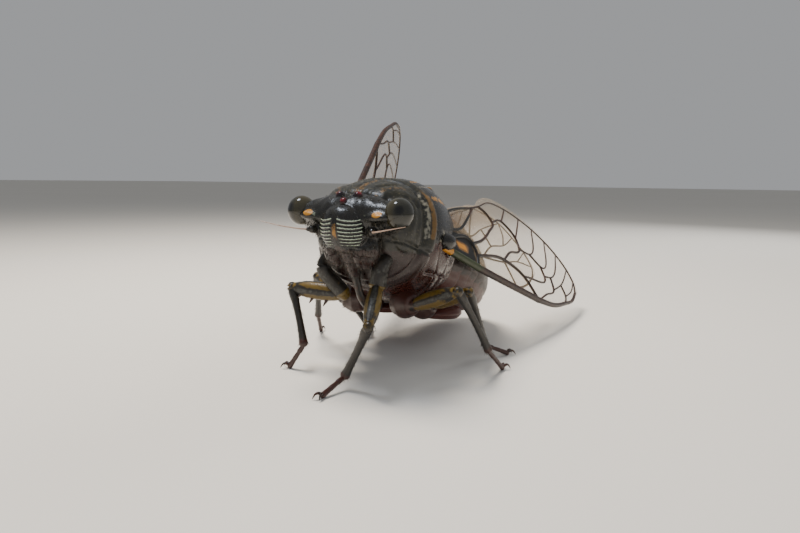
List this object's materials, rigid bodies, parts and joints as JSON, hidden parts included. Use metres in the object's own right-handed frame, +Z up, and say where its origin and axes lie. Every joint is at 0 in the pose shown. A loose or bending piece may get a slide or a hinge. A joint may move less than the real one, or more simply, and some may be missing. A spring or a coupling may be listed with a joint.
{
  "type": "large cicada, standing, life-size still model",
  "caption": "Life-size standing cicada with a broad ridged head, a stout body and clear veined wings, one pair raised and one pair half folded.",
  "frame": {"origin": "centre of the footprint of the whole insect, on the surface that it stands on", "axes": "+Z up, -Y the way the head faces, +X towards the insect's own left side"},
  "size_m": [0.0316, 0.0542, 0.0289],
  "materials": {
    "head_cuticle": "black cuticle with pale cross ridges, satin",
    "pronotum_cuticle": "mottled olive brown cuticle under silvery hair",
    "mesothorax_cuticle": "glossy black cuticle",
    "abdomen_cuticle": "dark banded cuticle",
    "operculum_cuticle": "reddish brown plate",
    "beak_cuticle": "yellow brown beak",
    "eye": "grey olive eye, glossy",
    "antenna": "dark bristle",
    "coxa_cuticle": "dark cuticle with grey pile",
    "femur_cuticle": "olive yellow with a dark stripe",
    "tibia_cuticle": "dark grey brown",
    "foot": "reddish brown foot and claws",
    "wing": "clear tan membrane with brown veins"
  },
  "bodies": {
    "root": {"head": "head_cuticle", "pronotum": "pronotum_cuticle", "mesothorax": "mesothorax_cuticle", "abdomen": "abdomen_cuticle", "beak": "beak_cuticle", "eye_left": "eye", "eye_right": "eye", "antenna_left": "antenna", "antenna_right": "antenna", "operculum_left": "operculum_cuticle", "operculum_right": "operculum_cuticle", "forewing_left": "wing", "forewing_right": "wing", "hindwing_left": "wing", "hindwing_right": "wing", "coxa_fore_left": "coxa_cuticle", "femur_fore_left": "femur_cuticle", "tibia_fore_left": "tibia_cuticle", "tarsus_fore_left": "foot", "coxa_fore_right": "coxa_cuticle", "femur_fore_right": "femur_cuticle", "tibia_fore_right": "tibia_cuticle", "tarsus_fore_right": "foot", "coxa_mid_left": "coxa_cuticle", "femur_mid_left": "femur_cuticle", "tibia_mid_left": "tibia_cuticle", "tarsus_mid_left": "foot", "coxa_mid_right": "coxa_cuticle", "femur_mid_right": "femur_cuticle", "tibia_mid_right": "tibia_cuticle", "tarsus_mid_right": "foot", "coxa_hind_left": "coxa_cuticle", "femur_hind_left": "femur_cuticle", "tibia_hind_left": "tibia_cuticle", "tarsus_hind_left": "foot", "coxa_hind_right": "coxa_cuticle", "femur_hind_right": "femur_cuticle", "tibia_hind_right": "tibia_cuticle", "tarsus_hind_right": "foot"}
  },
  "joints": []
}
